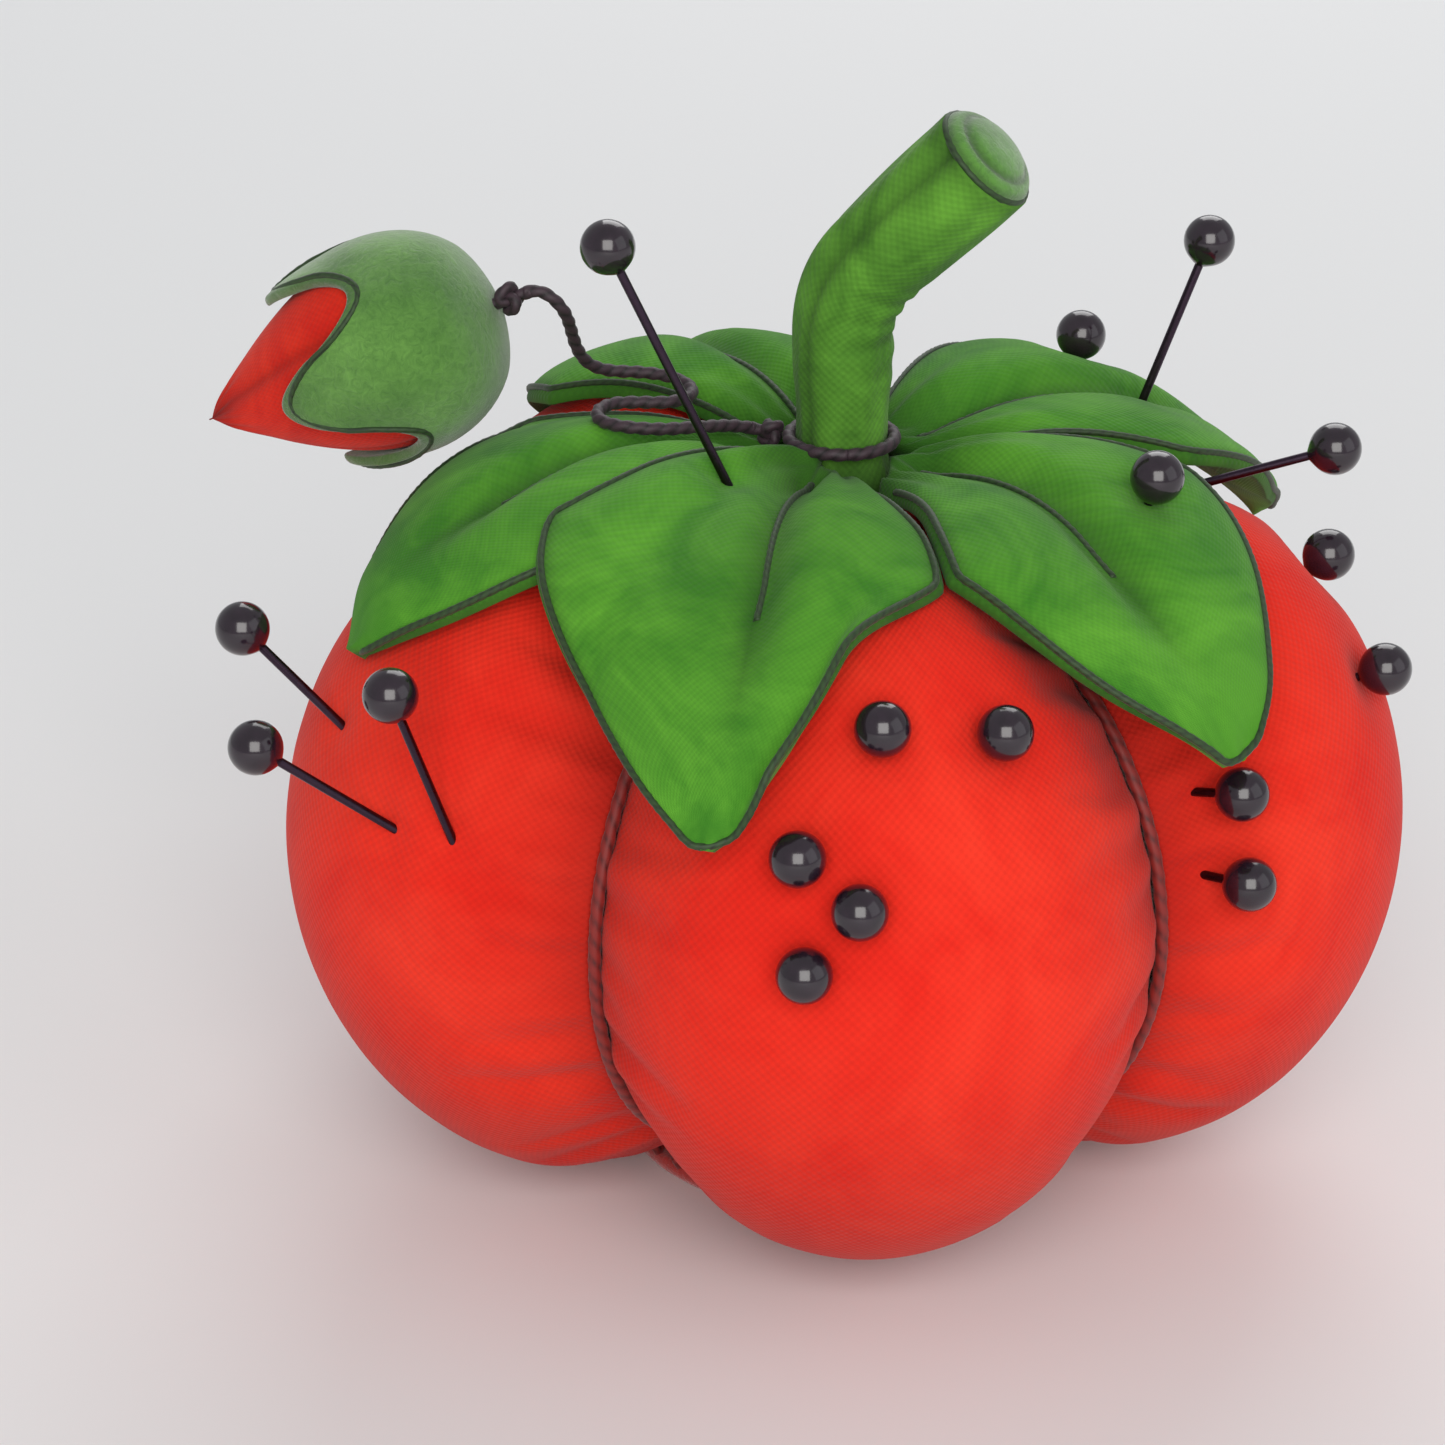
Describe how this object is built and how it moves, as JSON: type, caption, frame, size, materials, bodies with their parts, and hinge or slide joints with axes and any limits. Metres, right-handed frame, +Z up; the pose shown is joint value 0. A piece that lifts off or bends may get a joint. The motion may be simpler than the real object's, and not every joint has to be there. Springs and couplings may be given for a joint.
{
  "type": "pin cushion",
  "caption": "Stuffed tomato pin cushion with thread-drawn lobes, padded green leaves, a curved stem, a strawberry emery on a cord and black ball-headed pins",
  "frame": {"origin": "Middle of the base disc's flat underside", "axes": "+Z up through the middle of the cushion and the stem's foot; -Y is the front lobe; +X is the side the stem bends to, turned 25 degrees to the front"},
  "size_m": [0.0792, 0.0747, 0.0741],
  "materials": {
    "red_cotton": "matte hand-dyed cotton",
    "green_cotton": "matte hand-dyed cotton",
    "stem_cotton": "matte cotton",
    "stem_cut_end": "matte felt",
    "wool_stuffing": "matte loose wool",
    "maroon_thread": "satin twisted thread",
    "red_felt": "matte felt",
    "wire": "satin",
    "dark_cord": "satin twisted cord",
    "strawberry_cotton": "matte cotton",
    "emery_grit": "matte grit",
    "cap_felt": "matte felt",
    "pin_steel": "dark polished",
    "pin_ball": "gloss"
  },
  "bodies": {
    "cushion": {"gore_1": "red_cotton", "gore_2": "red_cotton", "gore_3": "red_cotton", "gore_4": "red_cotton", "gore_5": "red_cotton", "stuffing": "wool_stuffing", "crease_thread": "maroon_thread", "centre_tie": "maroon_thread", "base_disc": "red_felt", "leaf_1": "green_cotton", "leaf_2": "green_cotton", "leaf_3": "green_cotton", "leaf_4": "green_cotton", "leaf_5": "green_cotton", "stem_cover": "stem_cotton", "stem_wire": "wire", "stem_end": "stem_cut_end"},
    "cord_loop": {"cord_loop": "dark_cord", "cord_hitch": "dark_cord"},
    "strawberry": {"emery_cover": "strawberry_cotton", "emery_fill": "emery_grit", "emery_cap": "cap_felt", "emery_cord": "dark_cord", "emery_knot": "dark_cord"},
    "pin_01": {"pin_01_shank": "pin_steel", "pin_01_head": "pin_ball"},
    "pin_02": {"pin_02_shank": "pin_steel", "pin_02_head": "pin_ball"},
    "pin_03": {"pin_03_shank": "pin_steel", "pin_03_head": "pin_ball"},
    "pin_04": {"pin_04_shank": "pin_steel", "pin_04_head": "pin_ball"},
    "pin_05": {"pin_05_shank": "pin_steel", "pin_05_head": "pin_ball"},
    "pin_06": {"pin_06_shank": "pin_steel", "pin_06_head": "pin_ball"},
    "pin_07": {"pin_07_shank": "pin_steel", "pin_07_head": "pin_ball"},
    "pin_08": {"pin_08_shank": "pin_steel", "pin_08_head": "pin_ball"},
    "pin_09": {"pin_09_shank": "pin_steel", "pin_09_head": "pin_ball"},
    "pin_10": {"pin_10_shank": "pin_steel", "pin_10_head": "pin_ball"},
    "pin_11": {"pin_11_shank": "pin_steel", "pin_11_head": "pin_ball"},
    "pin_12": {"pin_12_shank": "pin_steel", "pin_12_head": "pin_ball"},
    "pin_13": {"pin_13_shank": "pin_steel", "pin_13_head": "pin_ball"},
    "pin_14": {"pin_14_shank": "pin_steel", "pin_14_head": "pin_ball"},
    "pin_15": {"pin_15_shank": "pin_steel", "pin_15_head": "pin_ball"},
    "pin_16": {"pin_16_shank": "pin_steel", "pin_16_head": "pin_ball"},
    "pin_17": {"pin_17_shank": "pin_steel", "pin_17_head": "pin_ball"}
  },
  "joints": [
    {"name": "loop_swivel", "type": "hinge", "parent": "cushion", "child": "cord_loop", "pos_m": [0, 0, 0.0512], "axis": [0, 0, 1], "range_deg": [-80, 8]},
    {"name": "strawberry_lift", "type": "hinge", "parent": "cord_loop", "child": "strawberry", "pos_m": [-0.00459, 0.00114, 0.0512], "axis": [0.2419, 0.9703, 0], "range_deg": [0, 70]},
    {"name": "pin_01_slide", "type": "slide", "parent": "cushion", "child": "pin_01", "axis": [-0.776, -0.1368, 0.6157], "range_m": [-0.0085, 0.018]},
    {"name": "pin_02_slide", "type": "slide", "parent": "cushion", "child": "pin_02", "axis": [-0.6403, -0.056, 0.766], "range_m": [-0.0075, 0.0193]},
    {"name": "pin_03_slide", "type": "slide", "parent": "cushion", "child": "pin_03", "axis": [-0.287, -0.2408, 0.9272], "range_m": [-0.009, 0.0169]},
    {"name": "pin_04_slide", "type": "slide", "parent": "cushion", "child": "pin_04", "axis": [-0.4203, -0.0442, 0.9063], "range_m": [-0.016, 0.0106]},
    {"name": "pin_05_slide", "type": "slide", "parent": "cushion", "child": "pin_05", "axis": [0.2531, 0.1772, 0.9511], "range_m": [0, 0.0271]},
    {"name": "pin_06_slide", "type": "slide", "parent": "cushion", "child": "pin_06", "axis": [0.3418, 0.0119, 0.9397], "range_m": [-0.01, 0.0171]},
    {"name": "pin_07_slide", "type": "slide", "parent": "cushion", "child": "pin_07", "axis": [0.9033, -0.259, 0.342], "range_m": [-0.007, 0.0187]},
    {"name": "pin_08_slide", "type": "slide", "parent": "cushion", "child": "pin_08", "axis": [0.2387, -0.1378, 0.9613], "range_m": [0, 0.0271]},
    {"name": "pin_09_slide", "type": "slide", "parent": "cushion", "child": "pin_09", "axis": [0.7319, -0.129, 0.6691], "range_m": [0, 0.0271]},
    {"name": "pin_10_slide", "type": "slide", "parent": "cushion", "child": "pin_10", "axis": [0.8585, -0.3125, 0.4067], "range_m": [0, 0.0271]},
    {"name": "pin_11_slide", "type": "slide", "parent": "cushion", "child": "pin_11", "axis": [0.698, -0.674, 0.2419], "range_m": [0, 0.0267]},
    {"name": "pin_12_slide", "type": "slide", "parent": "cushion", "child": "pin_12", "axis": [0.6754, -0.7242, 0.1392], "range_m": [0, 0.0268]},
    {"name": "pin_13_slide", "type": "slide", "parent": "cushion", "child": "pin_13", "axis": [-0.1308, -0.9305, 0.342], "range_m": [0, 0.027]},
    {"name": "pin_14_slide", "type": "slide", "parent": "cushion", "child": "pin_14", "axis": [-0.1619, -0.6493, 0.7431], "range_m": [0, 0.0271]},
    {"name": "pin_15_slide", "type": "slide", "parent": "cushion", "child": "pin_15", "axis": [-0.1371, -0.9752, 0.1736], "range_m": [0, 0.0271]},
    {"name": "pin_16_slide", "type": "slide", "parent": "cushion", "child": "pin_16", "axis": [-0.1005, -0.956, 0.2756], "range_m": [0, 0.0271]},
    {"name": "pin_17_slide", "type": "slide", "parent": "cushion", "child": "pin_17", "axis": [0.0247, -0.7067, 0.7071], "range_m": [0, 0.027]}
  ]
}
